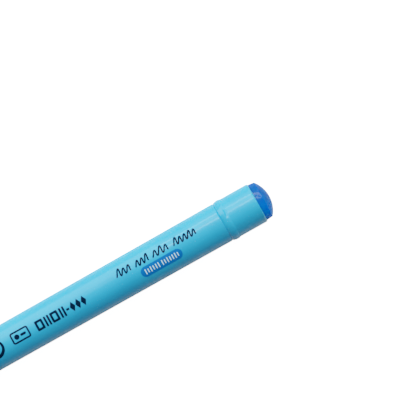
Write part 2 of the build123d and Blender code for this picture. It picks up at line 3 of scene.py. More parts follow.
import bmesh
import bpy
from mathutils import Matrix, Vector


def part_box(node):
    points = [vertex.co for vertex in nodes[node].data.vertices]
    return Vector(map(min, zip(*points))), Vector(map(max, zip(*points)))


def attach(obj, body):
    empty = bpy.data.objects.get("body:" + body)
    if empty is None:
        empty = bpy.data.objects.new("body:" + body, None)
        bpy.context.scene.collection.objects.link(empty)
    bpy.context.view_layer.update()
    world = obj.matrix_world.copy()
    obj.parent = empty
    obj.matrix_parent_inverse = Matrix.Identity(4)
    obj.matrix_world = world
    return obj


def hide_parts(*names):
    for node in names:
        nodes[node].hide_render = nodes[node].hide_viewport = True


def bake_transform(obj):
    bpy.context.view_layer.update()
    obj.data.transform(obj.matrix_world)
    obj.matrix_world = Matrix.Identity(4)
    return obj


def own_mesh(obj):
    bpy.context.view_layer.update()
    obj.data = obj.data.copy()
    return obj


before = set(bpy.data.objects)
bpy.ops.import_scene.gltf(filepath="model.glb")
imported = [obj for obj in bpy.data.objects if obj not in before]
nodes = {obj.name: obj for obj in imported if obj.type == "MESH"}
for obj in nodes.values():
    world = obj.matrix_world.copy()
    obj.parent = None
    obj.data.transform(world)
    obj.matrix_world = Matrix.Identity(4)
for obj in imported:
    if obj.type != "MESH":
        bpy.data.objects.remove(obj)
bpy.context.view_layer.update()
mm = 0.001


# ---- shader sockets that add up like numbers ----
class Sig:
    def __init__(self, tree, socket=None):
        self.tree = tree
        self.socket = socket

    # adds a node: settings first, then values or links into its inputs, and returns one output
    def node(self, kind, settings=None, inputs=None, out=0):
        made = self.tree.nodes.new(kind)
        for key, value in (settings or {}).items():
            setattr(made, key, value)
        for key, value in (inputs or {}).items():
            target = pickSocket(made.inputs, key)
            if isinstance(value, Sig):
                self.tree.links.new(value.socket, target)
            else:
                target.default_value = value
        return Sig(self.tree, pickSocket(made.outputs, out) if len(made.outputs) else None)

    def math(self, operation, first, second=None):
        values = {0: first} if second is None else {0: first, 1: second}
        return self.node("ShaderNodeMath", {"operation": operation}, values)

    def __add__(self, other):
        return self.math("ADD", self, other)

    def __sub__(self, other):
        return self.math("SUBTRACT", self, other)

    def __rsub__(self, other):
        return self.math("SUBTRACT", other, self)

    def __mul__(self, other):
        return self.math("MULTIPLY", self, other)

    def __truediv__(self, other):
        return self.math("DIVIDE", self, other)

    def __pow__(self, other):
        return self.math("POWER", self, other)

    # eases from 0 to 1 as the value goes from low to high
    def ease(self, low, high):
        settings = {"interpolation_type": "SMOOTHSTEP", "clamp": True}
        return self.node("ShaderNodeMapRange", settings, {0: self, 1: low, 2: high})

    def dot(self, direction):
        inputs = {0: self, 1: direction}
        return self.node("ShaderNodeVectorMath", {"operation": "DOT_PRODUCT"}, inputs, "Value")

    def stretch(self, factors):
        return self.node("ShaderNodeVectorMath", {"operation": "MULTIPLY"}, {0: self, 1: factors})

    # a colour between two others, this value being the share of the second
    def blend(self, first, second):
        settings = {"data_type": "RGBA", "clamp_factor": True}
        inputs = {"Factor_Float": self, "A_Color": first, "B_Color": second}
        return self.node("ShaderNodeMix", settings, inputs, "Result_Color")

    # noise of so many waves a millimetre, at this place
    def noise(self, scale, detail=3.0, rough=0.5, warp=0.0):
        inputs = {"Vector": self, "Scale": scale, "Detail": detail, "Roughness": rough, "Distortion": warp}
        return self.node("ShaderNodeTexNoise", None, inputs)


# a socket by its number, its identifier or its name
def pickSocket(sockets, key):
    if isinstance(key, int):
        return sockets[key]
    for socket in sockets:
        if socket.identifier == key:
            return socket
    return sockets[key]


def rgba(colour):
    return (*colour, 1.0)


# ---- materials ----
# starts a material and gives its tree and the place in millimetres along the pen and across it
def startMaterial(name):
    material = bpy.data.materials.new(name)
    material.use_nodes = True
    material.node_tree.nodes.clear()
    tree = Sig(material.node_tree)
    place = tree.node("ShaderNodeTexCoord", None, None, "Object").stretch((1 / mm, 1 / mm, 1 / mm))
    return material, tree, place


def finishMaterial(tree, inputs, kind="ShaderNodeBsdfPrincipled"):
    shader = tree.node(kind, None, inputs)
    tree.node("ShaderNodeOutputMaterial", None, {"Surface": shader})


# fine wear that every handled surface has: smudges, hairlines and a little dust
def wear(place, look):
    smudge = place.noise(look["smudgeScale"], 4.0, 0.55, 0.6).ease(*look["smudgeFrom"])
    along = place.stretch((look["hairlineRun"], 1.0, 1.0)).noise(look["hairlineScale"], 2.0, 0.7)
    across = place.stretch((1.0, look["hairlineRun"], 1.0)).noise(look["hairlineScale"], 2.0, 0.7)
    hairlines = along.ease(*look["alongFrom"]) + across.ease(*look["acrossFrom"])
    dust = place.noise(look["dustScale"], 1.0, 0.5).ease(*look["dustFrom"])
    return smudge, hairlines, dust


def bumped(tree, height, distance):
    inputs = {"Strength": 1.0, "Distance": distance, "Height": height}
    return tree.node("ShaderNodeBump", None, inputs, "Normal")


# moulded gloss plastic, with flow lines, a thin shine and a slight unevenness of colour
def glossPlastic(name, look):
    material, tree, place = startMaterial(name)
    smudge, hairlines, dust = wear(place, look)
    cloud = place.noise(look["cloudScale"], 3.0, 0.5)
    flow = place.stretch((look["flowRun"], 1.0, 1.0)).noise(look["flowScale"], 2.0, 0.5)
    speckle = place.noise(look["speckleScale"], 1.0, 0.5).ease(*look["speckleFrom"])
    tone = (cloud * (1 - look["flowShare"]) + flow * look["flowShare"]).ease(*look["toneFrom"])
    colour = tone.blend(rgba(look["colour"]), rgba(look["deepColour"]))
    colour = (speckle * look["speckleShare"]).blend(colour, rgba(look["deepColour"]))
    colour = (dust * look["dustShare"]).blend(colour, rgba(look["dustColour"]))
    roughness = smudge * look["smudgeRoughness"] + look["roughness"]
    roughness = roughness + hairlines * look["hairlineRoughness"] + dust * look["dustRoughness"]
    height = cloud * look["waviness"] - hairlines * look["hairlineDepth"] + dust * look["dustHeight"]
    inputs = {
        "Base Color": colour,
        "Roughness": roughness,
        "IOR": look["ior"],
        "Subsurface Weight": look["subsurface"],
        "Subsurface Radius": look["subsurfaceTint"],
        "Subsurface Scale": look["subsurfaceDepth"] * mm,
        "Normal": bumped(tree, height, look["bump"]),
    }
    finishMaterial(tree, inputs)
    return material


handledPlastic = {
    "smudgeScale": 0.22, "smudgeFrom": (0.42, 0.7), "smudgeRoughness": 0.04,
    "hairlineScale": 9.0, "hairlineRun": 0.04, "alongFrom": (0.66, 0.74), "acrossFrom": (0.69, 0.76),
    "hairlineRoughness": 0.08, "hairlineDepth": 0.12,
    "dustScale": 6.0, "dustFrom": (0.74, 0.8), "dustShare": 0.25, "dustRoughness": 0.3,
    "dustHeight": 0.4, "dustColour": (0.75, 0.78, 0.8),
    "cloudScale": 0.12, "flowScale": 0.9, "flowRun": 0.08, "flowShare": 0.3, "toneFrom": (0.35, 0.65),
    "speckleScale": 14.0, "speckleFrom": (0.6, 0.75), "speckleShare": 0.12,
    "waviness": 0.5, "bump": 0.01 * mm, "ior": 1.5,
    "subsurface": 0.0, "subsurfaceDepth": 0.5, "subsurfaceTint": (0.3, 0.8, 1.0),
}
barrelLook = {
    **handledPlastic, "colour": (0.022, 0.335, 0.66), "deepColour": (0.018, 0.311, 0.63), "roughness": 0.03,
}
clipLook = {
    **handledPlastic, "colour": (0.008, 0.150, 0.62), "deepColour": (0.005, 0.120, 0.55), "roughness": 0.1,
    "subsurface": 0.15, "subsurfaceDepth": 0.6, "subsurfaceTint": (0.1, 0.4, 1.0),
}
skyBlue = glossPlastic("sky_blue_plastic", barrelLook)
deepBlue = glossPlastic("deep_blue_plastic", clipLook)
print("stage: gloss plastics")


# hard translucent elastomer, with painted light and shade in its colour: paler towards -Y, the side away from
# the lamps, darker on the lit +Y side, and only half as much of the paler colour on the dome
eraserLook = {
    "paintedShade": (0.0003, 0.041, 0.22), "paintedLight": (0.0006, 0.172, 0.8), "worn": (0.003, 0.13, 0.45),
    "paintedLightStart": 3.5, "across": 8.2, "domeShare": 0.5, "domeLength": (2.2, 1.0), "crease": 0.06,
    "roughness": 0.055, "grain": 5.0, "grainRoughness": 0.04, "grainHeight": 0.3, "pitScale": 3.2,
    "pitFrom": (0.62, 0.72), "pitDepth": 0.5, "creaseHeight": 0.4, "bump": 0.012 * mm,
    "rubbedScale": 0.7, "rubbedFrom": (0.5, 0.7), "rubbedShare": 0.2, "rubbedRoughness": 0.1,
    "subsurface": 0.8, "depth": 2.5, "tint": (0.02, 0.5, 1.0), "shine": 0.05, "creaseScale": 0.8,
}


def eraserMaterial(look):
    material, tree, place = startMaterial("eraser_elastomer")
    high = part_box("eraser")[1]
    domeStart, domeMiddle = (high.x / mm - length for length in look["domeLength"])
    dome = place.dot((1.0, 0.0, 0.0)).ease(domeStart, domeMiddle)
    # painted light and shade: the share of the paler colour grows with the square of the distance towards -Y
    # and is halved on the dome, while the lit +Y side keeps the darker colour
    side = (look["paintedLightStart"] - place.dot((0.0, 1.0, 0.0))) / look["across"]
    paintedLight = side.math("MAXIMUM", side, 0.0) ** 2.0
    grain = place.noise(look["grain"], 4.0, 0.6)
    pits = place.noise(look["pitScale"], 2.0, 0.5).ease(*look["pitFrom"])
    crease = place.stretch((1.0, 0.2, 1.0)).noise(look["creaseScale"], 3.0, 0.6)
    rubbed = dome * place.noise(look["rubbedScale"], 3.0, 0.5, 0.8).ease(*look["rubbedFrom"])
    share = paintedLight * (1 - dome * look["domeShare"]) + crease * look["crease"]
    colour = share.blend(rgba(look["paintedShade"]), rgba(look["paintedLight"]))
    colour = (rubbed * look["rubbedShare"]).blend(colour, rgba(look["worn"]))
    roughness = grain * look["grainRoughness"] + look["roughness"] + rubbed * look["rubbedRoughness"]
    height = grain * look["grainHeight"] - pits * dome * look["pitDepth"] + crease * look["creaseHeight"]
    inputs = {
        "Base Color": colour,
        "Roughness": roughness,
        "Specular IOR Level": look["shine"],
        "Subsurface Weight": look["subsurface"],
        "Subsurface Radius": look["tint"],
        "Subsurface Scale": look["depth"] * mm,
        "Normal": bumped(tree, height, look["bump"]),
    }
    finishMaterial(tree, inputs)
    return material


# matt moulded rubber: fine spark-eroded grain, polished a little where fingers hold it
gripLook = {
    "colour": (0.010, 0.17, 0.47), "polished": (0.014, 0.20, 0.52), "lint": (0.35, 0.42, 0.48),
    "roughness": 0.62, "polishedRoughness": 0.46, "heldScale": 0.25, "heldFrom": (0.4, 0.65),
    "grain": 22.0, "grainRoughness": 0.06, "grainHeight": 0.9, "bump": 0.02 * mm,
    "lintScale": 7.0, "lintFrom": (0.72, 0.78), "lintShare": 0.3, "lintHeight": 0.5,
    "sheen": 0.15, "sheenRoughness": 0.5,
}


def gripMaterial(look):
    material, tree, place = startMaterial("grip_rubber")
    grain = place.noise(look["grain"], 3.0, 0.6)
    held = place.noise(look["heldScale"], 3.0, 0.5).ease(*look["heldFrom"])
    lint = place.stretch((1.0, 0.3, 1.0)).noise(look["lintScale"], 2.0, 0.5, 1.2).ease(*look["lintFrom"])
    colour = held.blend(rgba(look["colour"]), rgba(look["polished"]))
    colour = (lint * look["lintShare"]).blend(colour, rgba(look["lint"]))
    roughness = held * (look["polishedRoughness"] - look["roughness"]) + look["roughness"]
    inputs = {
        "Base Color": colour,
        "Roughness": roughness + grain * look["grainRoughness"],
        "Sheen Weight": look["sheen"],
        "Sheen Roughness": look["sheenRoughness"],
        "Normal": bumped(tree, grain * look["grainHeight"] + lint * look["lintHeight"], look["bump"]),
    }
    finishMaterial(tree, inputs)
    return material


# unpigmented polypropylene of the liner, the tip holder and the refill's plug
naturalLook = {
    "colour": (0.78, 0.79, 0.76), "cloudy": (0.70, 0.72, 0.69), "roughness": 0.34,
    "cloudScale": 0.5, "cloudyFrom": (0.35, 0.7), "cloudRoughness": 0.12, "grain": 12.0,
    "grainRoughness": 0.05, "grainHeight": 0.4, "bump": 0.01 * mm,
    "subsurface": 0.5, "depth": 1.5, "tint": (1.0, 0.95, 0.85),
}


def naturalPlastic(look):
    material, tree, place = startMaterial("natural_plastic")
    cloud = place.noise(look["cloudScale"], 4.0, 0.55)
    grain = place.noise(look["grain"], 2.0, 0.6)
    inputs = {
        "Base Color": cloud.ease(*look["cloudyFrom"]).blend(rgba(look["colour"]), rgba(look["cloudy"])),
        "Roughness": cloud * look["cloudRoughness"] + look["roughness"] + grain * look["grainRoughness"],
        "Subsurface Weight": look["subsurface"],
        "Subsurface Radius": look["tint"],
        "Subsurface Scale": look["depth"] * mm,
        "Normal": bumped(tree, grain * look["grainHeight"] + cloud, look["bump"]),
    }
    finishMaterial(tree, inputs)
    return material


# clear extruded tube with die lines along it
tubeLook = {
    "colour": (0.93, 0.97, 0.98), "hazy": (0.82, 0.88, 0.9), "hazeScale": 0.4, "hazeFrom": (0.45, 0.75),
    "roughness": 0.06, "hazeRoughness": 0.06, "lineScale": 3.5, "lineRun": 0.01, "lineRoughness": 0.03,
    "bump": 0.012 * mm, "ior": 1.49, "clear": 0.94,
}


def tubeMaterial(look):
    material, tree, place = startMaterial("clear_tube")
    dieLines = place.stretch((look["lineRun"], 1.0, 1.0)).noise(look["lineScale"], 3.0, 0.6)
    haze = place.noise(look["hazeScale"], 3.0, 0.5).ease(*look["hazeFrom"])
    inputs = {
        "Base Color": haze.blend(rgba(look["colour"]), rgba(look["hazy"])),
        "Roughness": haze * look["hazeRoughness"] + look["roughness"] + dieLines * look["lineRoughness"],
        "IOR": look["ior"],
        "Transmission Weight": look["clear"],
        "Normal": bumped(tree, dieLines, look["bump"]),
    }
    finishMaterial(tree, inputs)
    return material


# gel ink: nearly opaque, wet, with small bubbles and denser streaks
inkLook = {
    "colour": (0.004, 0.045, 0.33), "dense": (0.002, 0.02, 0.2), "denseFrom": (0.4, 0.65),
    "streakScale": 1.4, "streakRun": 0.15, "streakRoughness": 0.06, "roughness": 0.1,
    "bubbleScale": 1.9, "bubbleFrom": (0.06, 0.12), "bubbleShare": 0.3, "relief": 0.5,
    "wet": 0.4, "wetBubble": 0.5, "wetRoughness": 0.04, "bump": 0.02 * mm,
}


def inkMaterial(look):
    material, tree, place = startMaterial("gel_ink")
    streaks = place.stretch((look["streakRun"], 1.0, 1.0)).noise(look["streakScale"], 4.0, 0.6, 0.5)
    cells = {"Vector": place, "Scale": look["bubbleScale"]}
    bubble = 1 - place.node("ShaderNodeTexVoronoi", {"feature": "F1"}, cells).ease(*look["bubbleFrom"])
    denser = streaks.ease(*look["denseFrom"]) - bubble * look["bubbleShare"]
    inputs = {
        "Base Color": denser.blend(rgba(look["colour"]), rgba(look["dense"])),
        "Roughness": streaks * look["streakRoughness"] + look["roughness"],
        "Coat Weight": bubble * look["wetBubble"] + look["wet"],
        "Coat Roughness": look["wetRoughness"],
        "Normal": bumped(tree, streaks * look["relief"] - bubble * look["relief"], look["bump"]),
    }
    finishMaterial(tree, inputs)
    return material


# clear grease that follows the ink down the tube
followerLook = {
    "colour": (0.93, 0.89, 0.70), "cloudy": (0.86, 0.80, 0.58), "cloudScale": 0.9,
    "cloudyFrom": (0.4, 0.65), "roughness": 0.12, "cloudRoughness": 0.15, "ior": 1.45, "clear": 0.75,
    "bump": 0.04 * mm,
}


def followerMaterial(look):
    material, tree, place = startMaterial("follower_grease")
    cloud = place.noise(look["cloudScale"], 4.0, 0.55, 0.4)
    inputs = {
        "Base Color": cloud.ease(*look["cloudyFrom"]).blend(rgba(look["colour"]), rgba(look["cloudy"])),
        "Roughness": cloud * look["cloudRoughness"] + look["roughness"],
        "IOR": look["ior"],
        "Transmission Weight": look["clear"],
        "Normal": bumped(tree, cloud, look["bump"]),
    }
    finishMaterial(tree, inputs)
    return material


# turned or drawn metal: fine rings round the pen's axis, and faint stains
turnedLook = {
    "waverScale": 2.5, "ringRoughness": 0.04, "ringHeight": 0.3, "bump": 0.003 * mm,
    "stainScale": 1.3, "stainFrom": (0.5, 0.75), "stainDulling": 0.05, "stainRoughness": 0.12,
}
steelLook = {
    **turnedLook, "colour": (0.60, 0.585, 0.55), "stain": (0.42, 0.40, 0.36), "roughness": 0.2,
    "ringPitch": 0.035,
}
carbideLook = {
    **turnedLook, "colour": (0.36, 0.36, 0.37), "stain": (0.25, 0.25, 0.26), "roughness": 0.09,
    "ringPitch": 0.011,
}


def turnedMetal(name, look):
    material, tree, place = startMaterial(name)
    waver = place.noise(look["waverScale"], 2.0, 0.5) * look["ringPitch"]
    phase = (place.dot((1.0, 0.0, 0.0)) + waver) * (2 * math.pi / look["ringPitch"])
    rings = phase.math("SINE", phase)
    stain = place.noise(look["stainScale"], 4.0, 0.6).ease(*look["stainFrom"])
    inputs = {
        "Base Color": stain.blend(rgba(look["colour"]), rgba(look["stain"])),
        "Metallic": 1 - stain * look["stainDulling"],
        "Roughness": rings * look["ringRoughness"] + look["roughness"] + stain * look["stainRoughness"],
        "Normal": bumped(tree, rings * look["ringHeight"], look["bump"]),
    }
    finishMaterial(tree, inputs)
    return material


# printed films: thin dried ink with pinholes and a slightly orange-peel surface
driedInk = {
    "mottleScale": 2.2, "mottleFrom": (0.5, 0.75), "mottleShare": 0.6, "mottleRoughness": 0.12,
    "mottleHeight": 0.4, "pinholeScale": 9.0, "pinholeFrom": (0.68, 0.74), "pinholeShare": 0.4,
    "pinholeRoughness": 0.2, "pinholeDepth": 0.6, "bump": 0.006 * mm,
}
blackPrintLook = {
    **driedInk, "colour": (0.0, 0.007, 0.025), "thin": (0.0, 0.016, 0.05), "roughness": 0.4, "shine": 0.01,
}
badgeLook = {
    **driedInk, "colour": (0.001, 0.118, 0.46), "thin": (0.002, 0.14, 0.5), "roughness": 0.24, "shine": 0.12,
}
whitePrintLook = {
    **driedInk, "colour": (0.5, 0.68, 0.84), "thin": (0.36, 0.6, 0.8), "roughness": 0.34, "shine": 0.3,
}


def printMaterial(name, look):
    material, tree, place = startMaterial(name)
    mottle = place.noise(look["mottleScale"], 3.0, 0.6)
    pinholes = place.noise(look["pinholeScale"], 1.0, 0.5).ease(*look["pinholeFrom"])
    thin = mottle.ease(*look["mottleFrom"]) * look["mottleShare"] + pinholes * look["pinholeShare"]
    roughness = mottle * look["mottleRoughness"] + look["roughness"]
    inputs = {
        "Base Color": thin.blend(rgba(look["colour"]), rgba(look["thin"])),
        "Roughness": roughness + pinholes * look["pinholeRoughness"],
        "Specular IOR Level": look["shine"],
        "Normal": bumped(tree, mottle * look["mottleHeight"] - pinholes * look["pinholeDepth"], look["bump"]),
    }
    finishMaterial(tree, inputs)
    return material


inkBlue = inkMaterial(inkLook)
blackPrint = printMaterial("black_print", blackPrintLook)
badgePrint = printMaterial("blue_print", badgeLook)
whitePrint = printMaterial("white_print", whitePrintLook)
nodeMaterials = (
    (skyBlue, ("barrel", "tail_sleeve", "nose_cone", "cap_shell", "section_core")),
    (deepBlue, ("cap_crown", "clip")),
    (eraserMaterial(eraserLook), ("eraser",)),
    (gripMaterial(gripLook), ("grip_sleeve",)),
    (naturalPlastic(naturalLook), ("cap_liner", "tip_holder", "refill_plug")),
    (tubeMaterial(tubeLook), ("refill_tube",)),
    (inkBlue, ("ink",)),
    (followerMaterial(followerLook), ("ink_follower",)),
    (turnedMetal("point_steel", steelLook), ("writing_point", "ball_spring")),
    (turnedMetal("ball_carbide", carbideLook), ("ball",)),
)
for material, names in nodeMaterials:
    for name in names:
        for materialSlot in nodes[name].material_slots:
            materialSlot.material = material
print("stage: materials")


# ---- mesh pieces ----
def cutAcross(mesh, place, normal, slack):
    everything = mesh.verts[:] + mesh.edges[:] + mesh.faces[:]
    bmesh.ops.bisect_plane(mesh, geom=everything, plane_co=place, plane_no=normal, dist=slack)


def pieceFrom(mesh, name, material):
    data = bpy.data.meshes.new(name)
    mesh.to_mesh(data)
    mesh.free()
    data.materials.append(material)
    piece = bpy.data.objects.new(name, data)
    bpy.context.scene.collection.objects.link(piece)
    return piece


# closed skin turned about the pen's axis from (x, radius) points that start and end on the axis
def lathe(outline, segments):
    mesh = bmesh.new()
    turns = [2 * math.pi * i / segments for i in range(segments)]
    rings = []
    for x, radius in outline:
        if radius == 0:
            rings.append([mesh.verts.new((x, 0, 0))] * segments)
        else:
            rings.append([mesh.verts.new((x, radius * math.cos(a), radius * math.sin(a))) for a in turns])
    for first, second in zip(rings, rings[1:]):
        for i in range(segments):
            j = (i + 1) % segments
            mesh.faces.new(list(dict.fromkeys((first[i], second[i], second[j], first[j]))))
    bmesh.ops.recalc_face_normals(mesh, faces=mesh.faces)
    return mesh


# ink column: a wet plug with a bevelled front edge and a low rim where it meets the follower
inkShape = {
    "segments": 96, "bevel": 0.15 * mm, "lengths": (0.25, 0.5, 0.75), "rimWidth": 0.5 * mm,
    "rimDrop": 0.02 * mm, "keep": 0.0161, "flatFaces": 0.5,
}
inkLow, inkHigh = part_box("ink")
inkRadius = inkHigh.z
inkOutline = [(inkLow.x, 0), (inkLow.x, inkRadius - inkShape["bevel"])]
inkOutline += [(inkLow.x + inkShape["bevel"], inkRadius)]
inkOutline += [(inkLow.x + (inkHigh.x - inkLow.x) * share, inkRadius) for share in inkShape["lengths"]]
inkOutline += [(inkHigh.x - inkShape["rimDrop"], inkRadius)]
inkOutline += [(inkHigh.x, inkRadius - inkShape["rimWidth"]), (inkHigh.x, 0)]
inkColumn = pieceFrom(lathe(inkOutline, inkShape["segments"]), "ink_column", inkBlue)
for face in inkColumn.data.polygons:
    face.use_smooth = abs(face.normal.x) < inkShape["flatFaces"]
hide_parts("ink")
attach(inkColumn, "refill")
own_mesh(inkColumn)

# clip: the arm cut into short lengths, so that it bends beyond its root and doesn't hinge there
clipShape = {
    "step": 1.0 * mm, "bendEnds": 15.0 * mm, "sharpFrom": math.radians(28), "weld": 0.0005 * mm,
    "slack": 0.001 * mm,
}
clipLow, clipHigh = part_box("clip")
mesh = bmesh.new()
mesh.from_mesh(nodes["clip"].data)
bmesh.ops.remove_doubles(mesh, verts=mesh.verts, dist=clipShape["weld"])
for i in range(1, int(clipShape["bendEnds"] / clipShape["step"]) + 1):
    cutAcross(mesh, Vector((clipLow.x + i * clipShape["step"], 0, 0)), (1, 0, 0), clipShape["slack"])
clipArm = pieceFrom(mesh, "clip_arm", deepBlue)
clipArm.data.polygons.foreach_set("use_smooth", [True] * len(clipArm.data.polygons))
clipArm.data.set_sharp_from_angle(angle=clipShape["sharpFrom"])
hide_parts("clip")
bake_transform(clipArm)
print("stage: ink and clip")

# ---- print on the barrel: each mark is a thin closed film that follows the barrel's taper ----
barrelLow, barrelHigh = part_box("barrel")
filmShape = {
    "thickness": 0.015 * mm, "sunk": 0.04 * mm, "stepAlong": 1.05 * mm, "stepAcross": 0.35 * mm,
    "weld": 0.002 * mm, "slack": 0.0001 * mm, "raised": 0.008 * mm, "barrelFront": 1.0 * mm,
}
frontEnd = barrelLow.x + filmShape["barrelFront"]
frontRadius = max(math.hypot(v.co.y, v.co.z) for v in nodes["barrel"].data.vertices if v.co.x < frontEnd)
rearRadius = barrelHigh.z


def barrelRadius(x):
    share = (x - barrelLow.x) / (barrelHigh.x - barrelLow.x)
    return frontRadius + (rearRadius - frontRadius) * share


# polygons are lists of (x, y) in millimetres, x along the pen and y across it, seen from above;
# the film's underside lies a little below the barrel's surface, so that no gap shows
def film(name, polygons, material, lift=0.0):
    mesh = bmesh.new()
    for polygon in polygons:
        mesh.faces.new([mesh.verts.new((x * mm, y * mm, 0)) for x, y in polygon])
    bmesh.ops.remove_doubles(mesh, verts=mesh.verts, dist=filmShape["weld"])
    for axis, step in enumerate((filmShape["stepAlong"], filmShape["stepAcross"])):
        places = [v.co[axis] for v in mesh.verts]
        normal = Vector((1 - axis, axis, 0))
        for i in range(int(min(places) / step), int(max(places) / step) + 1):
            cutAcross(mesh, normal * (i * step), normal, filmShape["slack"])
    bmesh.ops.triangulate(mesh, faces=[face for face in mesh.faces if len(face.verts) > 4])
    grown = bmesh.ops.extrude_face_region(mesh, geom=mesh.faces[:], use_keep_orig=True)
    for part in grown["geom"]:
        if isinstance(part, bmesh.types.BMVert):
            part.co.z = filmShape["sunk"] + filmShape["thickness"] + lift
    bmesh.ops.recalc_face_normals(mesh, faces=mesh.faces)
    for v in mesh.verts:
        radius = barrelRadius(v.co.x)
        angle = math.asin(v.co.y / radius)
        radius += v.co.z - filmShape["sunk"]
        v.co = Vector((v.co.x, radius * math.sin(angle), radius * math.cos(angle)))
    piece = pieceFrom(mesh, name, material)
    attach(piece, "barrel")
    return piece


# a rectangle with rounded corners, anticlockwise, each corner in so many short lines
def roundedRect(left, right, low, high, radius, points=6):
    outline = []
    corners = ((right, high, 0), (left, high, 1), (left, low, 2), (right, low, 3))
    for cornerX, cornerY, quarter in corners:
        centreX = cornerX - math.copysign(radius, cornerX - (left + right) / 2)
        centreY = cornerY - math.copysign(radius, cornerY - (low + high) / 2)
        for i in range(points + 1):
            angle = math.pi / 2 * (quarter + i / points)
            outline.append((centreX + radius * math.cos(angle), centreY + radius * math.sin(angle)))
    return outline


# quads between two closed outlines that have the same number of points
def between(outer, inner):
    count = len(outer)
    return [[outer[i], outer[(i + 1) % count], inner[(i + 1) % count], inner[i]] for i in range(count)]


def hollow(left, right, low, high, radius, width, leastRadius=0.05):
    outer = roundedRect(left, right, low, high, radius)
    innerRadius = max(radius - width, leastRadius)
    return between(outer, roundedRect(left + width, right - width, low + width, high - width, innerRadius))


# quads along a pen stroke through points, its ends rounded off to a share of its width
def stroke(points, width, endShare=0.1):
    centre = [Vector(point) for point in points]
    run = [0.0]
    for first, second in zip(centre, centre[1:]):
        run.append(run[-1] + (second - first).length)
    sides = []
    for i, point in enumerate(centre):
        ahead = centre[min(i + 1, len(centre) - 1)] - centre[max(i - 1, 0)]
        side = Vector((-ahead.y, ahead.x)).normalized()
        fromEnd = min(run[i], run[-1] - run[i], width / 2)
        half = math.sqrt(max(width**2 / 4 - (width / 2 - fromEnd) ** 2, (endShare * width) ** 2))
        sides.append((point + side * half, point - side * half))
    return [[first[0], first[1], second[1], second[0]] for first, second in zip(sides, sides[1:])]


# a run of slanted waves, like a pen tried out on paper, between two places along the pen
def scribble(left, right, look, rises, points=14):
    outline = []
    pitch = (right - left) / len(rises)
    for i, rise in enumerate(rises):
        for j in range(points):
            turn = (j + 0.5) / points
            swing = -math.cos(2 * math.pi * turn)
            height = 0.5 + 0.5 * math.copysign(abs(swing) ** look["round"], swing)
            along = left + pitch * (i + turn)
            y = look["base"] + (look["top"] - look["base"]) * rise * height
            outline.append((along + look["slant"] * (y - look["base"]), y))
    return stroke(outline, look["width"])


# a corner radius just under half the width, so that no two points of a round end coincide
nearlyRound = 0.99

# framed mark: a rounded outline round a dot and a line
frameLook = {
    "left": 79.7, "right": 84.5, "low": -1.25, "high": 1.68, "corner": 0.55, "line": 0.4,
    "dotX": 81.15, "dotR": 0.64, "lineX": (82.1, 83.6), "lineWidth": 0.6, "middle": 0.22,
}


def framedMark(look):
    polygons = hollow(look["left"], look["right"], look["low"], look["high"], look["corner"], look["line"])
    middle, dotX, dotR = look["middle"], look["dotX"], look["dotR"]
    polygons.append(roundedRect(dotX - dotR, dotX + dotR, middle - dotR, middle + dotR, dotR * nearlyRound))
    half = look["lineWidth"] / 2
    polygons.append(roundedRect(*look["lineX"], middle - half, middle + half, half * nearlyRound))
    return polygons


# heavy row of marks: hollow blocks with pairs of bars between them, a dash and lozenges
rowLook = {
    "low": -1.21, "high": 1.34, "groups": 2, "groupX": 86.35, "groupPitch": 4.1, "blockWidth": 2.0,
    "corner": 0.25, "line": 0.56, "bars": (2.42, 3.26), "barWidth": 0.5, "barCorner": 0.12,
    "dashX": (94.55, 95.35), "dashWidth": 0.5, "dashCorner": 0.08, "lozenges": 3, "lozengeX": 95.6,
    "lozengePitch": 1.48, "lozengeWidth": 1.36,
}


def heavyRow(look):
    polygons = []
    low, high = look["low"], look["high"]
    for i in range(look["groups"]):
        left = look["groupX"] + i * look["groupPitch"]
        polygons += hollow(left, left + look["blockWidth"], low, high, look["corner"], look["line"])
        for offset in look["bars"]:
            bar = left + offset
            polygons.append(roundedRect(bar, bar + look["barWidth"], low, high, look["barCorner"]))
    middle = (low + high) / 2
    half = look["dashWidth"] / 2
    polygons.append(roundedRect(*look["dashX"], middle - half, middle + half, look["dashCorner"]))
    for i in range(look["lozenges"]):
        left = look["lozengeX"] + i * look["lozengePitch"]
        right = left + look["lozengeWidth"]
        centre = (left + right) / 2
        polygons.append([(left, middle), (centre, low), (right, middle), (centre, high)])
    return polygons


# light slanted scribble in four runs, each with its own rises
scribbleLook = {"base": 0.72, "top": 2.15, "slant": 0.3, "width": 0.36, "round": 0.75}
scribbleRuns = (
    (108.7, 112.7, (1.3, 1.0, 1.1)),
    (113.85, 117.5, (1.0, 1.0, 1.3)),
    (118.5, 122.9, (1.0, 1.25, 1.0)),
    (124.2, 130.4, (1.25, 1.0, 1.0, 1.15, 0.95)),
)

# badge: a filled pill with two groups of upright bars, rising and falling in height
badgeShape = {
    "left": 114.3, "right": 125.35, "low": -2.57, "high": -0.02, "barX": 115.4, "barPitch": 0.7,
    "barWidth": 0.27, "barCorner": 0.35, "groups": (6, 7), "groupGap": 0.3, "middle": -1.33,
    "rises": (0.66, 0.5, 0.66, 0.56, 0.62), "cornerPoints": 10,
}


def badgeBars(look):
    polygons = []
    left = look["barX"]
    for group in look["groups"]:
        for i in range(group):
            rise = look["rises"][i % len(look["rises"])]
            low, high = look["middle"] - rise, look["middle"] + rise
            corner = look["barWidth"] * look["barCorner"]
            polygons.append(roundedRect(left, left + look["barWidth"], low, high, corner))
            left += look["barPitch"]
        left += look["groupGap"]
    return polygons


# emblem: the outline of a drop of ink, its point towards the cap
dropLook = {
    "x": 75.1, "y": 0.05, "radius": 2.35, "tip": 4.2, "line": 0.75, "shift": 0.14, "points": 64,
    "narrowing": 5, "waist": 0.35,
}


